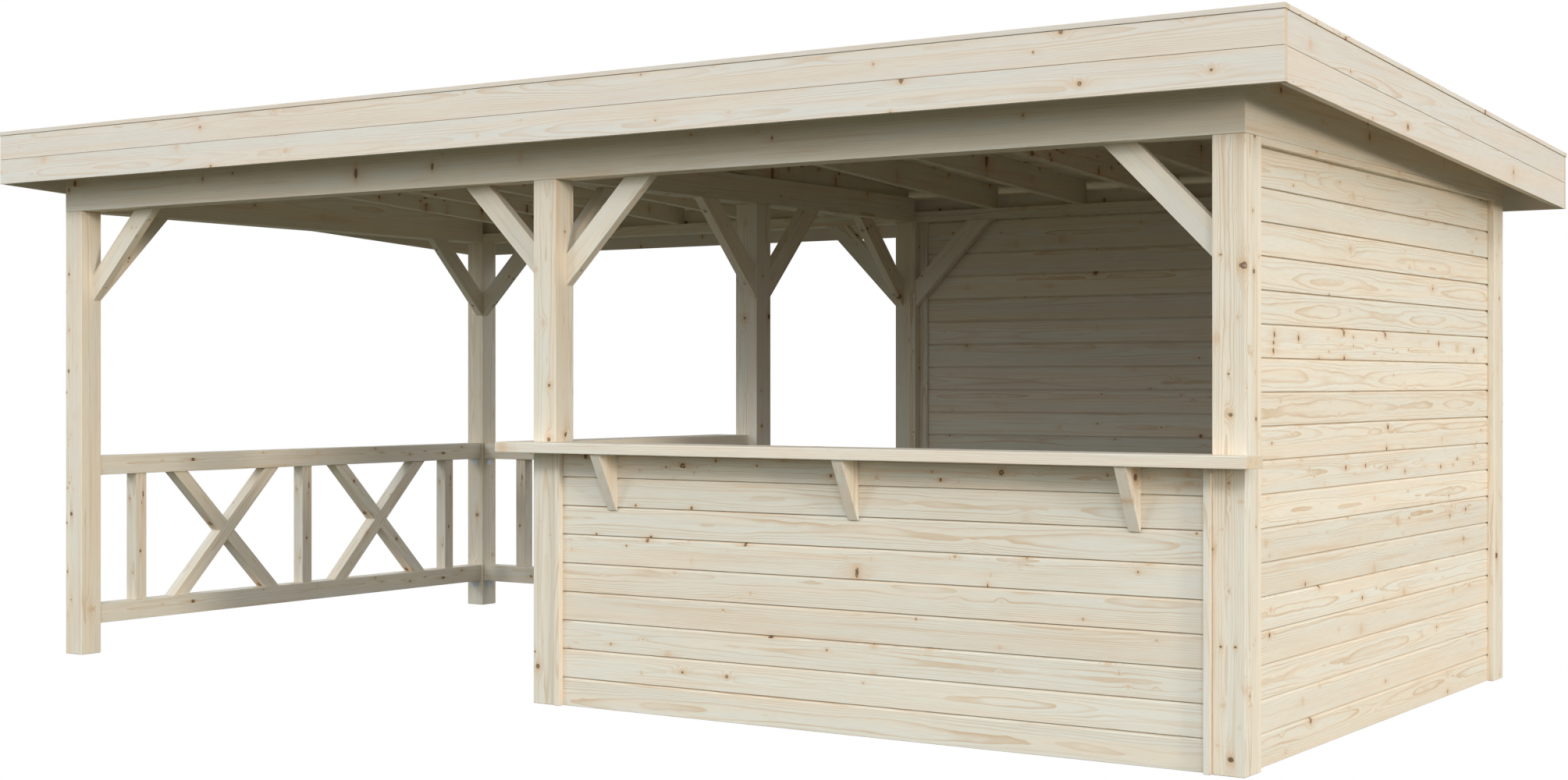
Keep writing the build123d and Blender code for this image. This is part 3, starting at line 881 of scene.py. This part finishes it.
# Walls and battens: tongued and grooved spruce boards laid level, 119 mm to the weather,
# with a wide chamfer along each upper edge. They stand between the posts, held by small
# square battens.
wall_timber = timber_finish(
    "wall_timber",
    sapwood=(0.85, 0.81, 0.71),
    latewood=(0.66, 0.46, 0.28),
    resin=(0.70, 0.46, 0.26),
    knot=(0.11, 0.06, 0.032),
    rings=0.0040,
    strength=1.0,
    streaks=0.4,
    amount=0.72,
    size=0.0085,
)
WALL_GAP, UPPER_CHAMFER, LOWER_CHAMFER = 0.0026, 0.0085, 0.0015
NARROWEST, TONGUE, TONGUE_SHARE = 0.05, 0.006, 0.4


def boarded(node, along_y, seed):
    # The boards are laid from the ground up, and a narrow rest goes to the top board
    low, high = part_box(node)
    rows = []
    z = low.z
    while z < high.z - 0.002:
        top = z + BOARD if high.z - z - BOARD > NARROWEST else high.z
        half_gap = WALL_GAP / 2
        corners = (low.x, low.y, z + half_gap), (high.x, high.y, top - half_gap)
        board = squared("wall_board", *corners)
        for upper, width in ((True, UPPER_CHAMFER), (False, LOWER_CHAMFER)):

            def long_edge(a, b):
                level = abs(a.z - b.z) < 1e-6 and (a.z > z + BOARD / 2) == upper
                return level and (a - b).length > 0.2

            with_edges(board, long_edge)
            bpy.ops.mesh.bevel(offset=width, segments=1, affect="EDGES")
            bpy.ops.object.mode_set(mode="OBJECT")
        if top < high.z - 0.001:
            # The tongue, thinner than the board, fills the groove of the board above
            facing(board, Vector((0, 0, 1)))
            squeeze = (TONGUE_SHARE, 1, 1) if along_y else (1, TONGUE_SHARE, 1)
            bpy.ops.mesh.extrude_region_move(TRANSFORM_OT_translate={"value": (0, 0, 0)})
            bpy.ops.transform.resize(value=squeeze)
            bpy.ops.mesh.extrude_region_move(TRANSFORM_OT_translate={"value": (0, 0, TONGUE)})
            bpy.ops.object.mode_set(mode="OBJECT")
        rows.append(board)
        z = top
    wall = joined(node + "_timber", rows)
    run = (0, 1, 0) if along_y else (1, 0, 0)
    lay_grain(wall, along=run, across=(0, 0, 1), seed=seed)
    return finish_piece(wall, wall_timber, "wall_timber", node, smooth=35)


boarded("wall_right", True, 101)
boarded("wall_back", False, 102)
boarded("wall_bar_front", False, 103)
boarded("wall_bar_side", True, 104)


def batten_run(points):
    # Along a batten, and square to it
    low, high = extent(points)
    axis = max(range(3), key=lambda i: high[i] - low[i])
    run, side = Vector(), Vector((1, 0, 0)) if axis == 2 else Vector((0, 0, 1))
    run[axis] = 1
    return run, side


UNDER_HEADER = 2.189
for node in ("battens_right", "battens_back", "battens_bar_front", "battens_bar_side"):
    battens = from_node(node + "_timber", node)
    eased(battens, width=0.003, steps=2, tight=lambda place: place.z > UNDER_HEADER)
    lay_grain(battens, along=batten_run, seed=node)
    finish_piece(battens, wall_timber, "wall_timber", node)


# Counter: a 44 mm top of planed spruce round the front and side of the bar, let in round
# the posts and carried by wedge-shaped brackets that stand on edge against the boards.
counter_timber = timber_finish(
    "counter_timber",
    sapwood=(0.84, 0.80, 0.71),
    latewood=(0.64, 0.45, 0.28),
    resin=(0.66, 0.42, 0.23),
    knot=(0.11, 0.06, 0.032),
    rings=0.0042,
    strength=0.85,
    streaks=0.35,
    amount=0.3,
    size=0.012,
)
for node, run, side in (
    ("counter_front", (1, 0, 0), (0, 1, 0)),
    ("counter_side", (0, 1, 0), (1, 0, 0)),
):
    top = from_node(node + "_timber", node)
    eased(top, width=0.002, steps=2, longer=0.1)
    lay_grain(top, along=run, across=side, seed=node)
    finish_piece(top, counter_timber, "counter_timber", node)
brackets = from_node("counter_brackets_timber", "counter_brackets")
eased(brackets, width=0.002, steps=2, longer=0)
lay_grain(brackets, along=(0, 0, 1), across=(0, 1, 0), seed=77)
finish_piece(brackets, counter_timber, "counter_timber", "counter_brackets")


# Steel angles: bent zinc-coated angles that carry the rail ends, one leg on the post and
# one under the rail, each leg with two screws.
angles = from_node("rail_angle_brackets_steel", "rail_angle_brackets")
eased(angles, width=0.0005, steps=1, longer=0)
finish_piece(angles, steel, "galvanised_steel", "rail_angle_brackets")
SHEET, ON_THE_POST, ON_THE_RAIL = 0.0024, 0.013, 0.025
SCREW_APART, SCREW_RADIUS, SCREW_HEIGHT = 0.024, 0.0045, 0.002
angle_screws = []
for points in timbers(angles.data):
    low, high = extent(points)
    axis = 0 if high.x - low.x < high.y - low.y else 1
    foot = min(points, key=lambda point: point.z)
    way = 1 if foot[axis] - low[axis] < 0.01 else -1
    middle = (low + high) / 2
    post_face = low[axis] if way > 0 else high[axis]
    for across in (-SCREW_APART / 2, SCREW_APART / 2):
        on_post, on_rail = middle.copy(), middle.copy()
        on_post[axis] = post_face + way * SHEET
        on_post.z = low.z + ON_THE_POST
        on_rail[axis] = post_face + way * ON_THE_RAIL
        on_rail.z = high.z - SHEET
        out = Vector()
        out[axis] = way
        on_post[1 - axis] += across
        on_rail[1 - axis] += across
        for seat, faces in ((on_post, out), (on_rail, Vector((0, 0, -1)))):
            angle_screws.append(screw(seat, faces, SCREW_RADIUS, SCREW_HEIGHT))
finish_piece(joined("angle_screws", angle_screws), steel, "galvanised_steel", smooth=30)


# Studio: a plain pale floor and a soft surround that is brightest half way up, with a low
# light from the right, two broad ones from the front and weak ones that fill the shade.
# The camera stands where the photograph was taken.
bpy.ops.object.select_all(action="DESELECT")
bpy.ops.mesh.primitive_plane_add(size=400, location=(0, 0, -0.0005))
floor = bpy.context.object
floor.name = "floor"
pale = bpy.data.materials.new("pale_floor")
pale.use_nodes = True
tree = pale.node_tree
tree.nodes.clear()
shown = add(tree, "ShaderNodeEmission")
shown.inputs["Color"].default_value = (1, 1, 1, 1)
shown.inputs["Strength"].default_value = 1.0
matt = add(tree, "ShaderNodeBsdfDiffuse")
matt.inputs["Color"].default_value = (0.15, 0.15, 0.11, 1)
path = add(tree, "ShaderNodeLightPath")
choose = add(tree, "ShaderNodeMixShader")
tree.links.new(path.outputs["Is Camera Ray"], choose.inputs[0])
tree.links.new(matt.outputs[0], choose.inputs[1])
tree.links.new(shown.outputs[0], choose.inputs[2])
tree.links.new(choose.outputs[0], add(tree, "ShaderNodeOutputMaterial").inputs[0])
floor.data.materials.append(pale)

world = bpy.data.worlds.new("studio")
bpy.context.scene.world = world
world.use_nodes = True
tree = world.node_tree
sky = tree.nodes["Background"]
sky.inputs["Color"].default_value = (0.90, 0.98, 1.06, 1)
up = add(tree, "ShaderNodeSeparateXYZ")
put(tree, up, 0, add(tree, "ShaderNodeTexCoord").outputs["Generated"])
rising = spread(tree, up.outputs[2], 0.0, 0.45, 0.56, 1.62)
falling = spread(tree, up.outputs[2], 0.45, 1.0, 1.0, 0.2)
put(tree, sky, "Strength", sums(tree, "MULTIPLY", rising, falling))
white = add(tree, "ShaderNodeBackground")
white.inputs["Color"].default_value = (1, 1, 1, 1)
path = add(tree, "ShaderNodeLightPath")
choose = add(tree, "ShaderNodeMixShader")
tree.links.new(path.outputs["Is Camera Ray"], choose.inputs[0])
tree.links.new(sky.outputs[0], choose.inputs[1])
tree.links.new(white.outputs[0], choose.inputs[2])
tree.links.new(choose.outputs[0], tree.nodes["World Output"].inputs[0])
LIGHTS = (
    ("light_from_the_right", (0.90, -0.25, 0.11), 1.12, 9, (1.0, 0.915, 0.79), True),
    ("light_from_front_right", (0.55, -0.80, 0.54), 0.50, 12, (0.97, 0.98, 1.0), True),
    ("light_from_front_left", (-0.55, -0.80, 0.54), 0.50, 12, (0.93, 0.98, 1.0), True),
    ("light_off_the_ground", (0.0, 0.0, -1.0), 0.175, 90, (0.96, 1.0, 0.76), False),
    ("light_between_the_posts", (0.88, -0.40, -0.10), 0.5, 60, (1.0, 0.90, 0.72), False),
    ("light_through_the_front", (0.05, -0.99, 0.0), 0.16, 40, (0.86, 1.0, 1.0), False),
)
for name, towards, strength, width, colour, shadows in LIGHTS:
    bpy.ops.object.light_add(type="SUN", location=Vector(towards) * 12)
    light = bpy.context.object
    light.name = name
    light.rotation_euler = Vector(towards).to_track_quat("Z", "Y").to_euler()
    light.data.energy = strength
    light.data.angle = math.radians(width)
    light.data.color = colour
    light.data.use_shadow = shadows

camera_data = bpy.data.cameras.new("camera")
camera = bpy.data.objects.new("camera", camera_data)
bpy.context.scene.collection.objects.link(camera)
camera.location = (5.8749, -8.7254, 1.3397)
camera.rotation_euler = (math.radians(90), 0, math.radians(34.63))
camera_data.sensor_width = 36
camera_data.lens = 50.80
camera_data.shift_x = 0.0363
camera_data.shift_y = -0.00427
camera_data.clip_end = 600
bpy.context.scene.camera = camera
bpy.context.scene.view_settings.view_transform = "Standard"
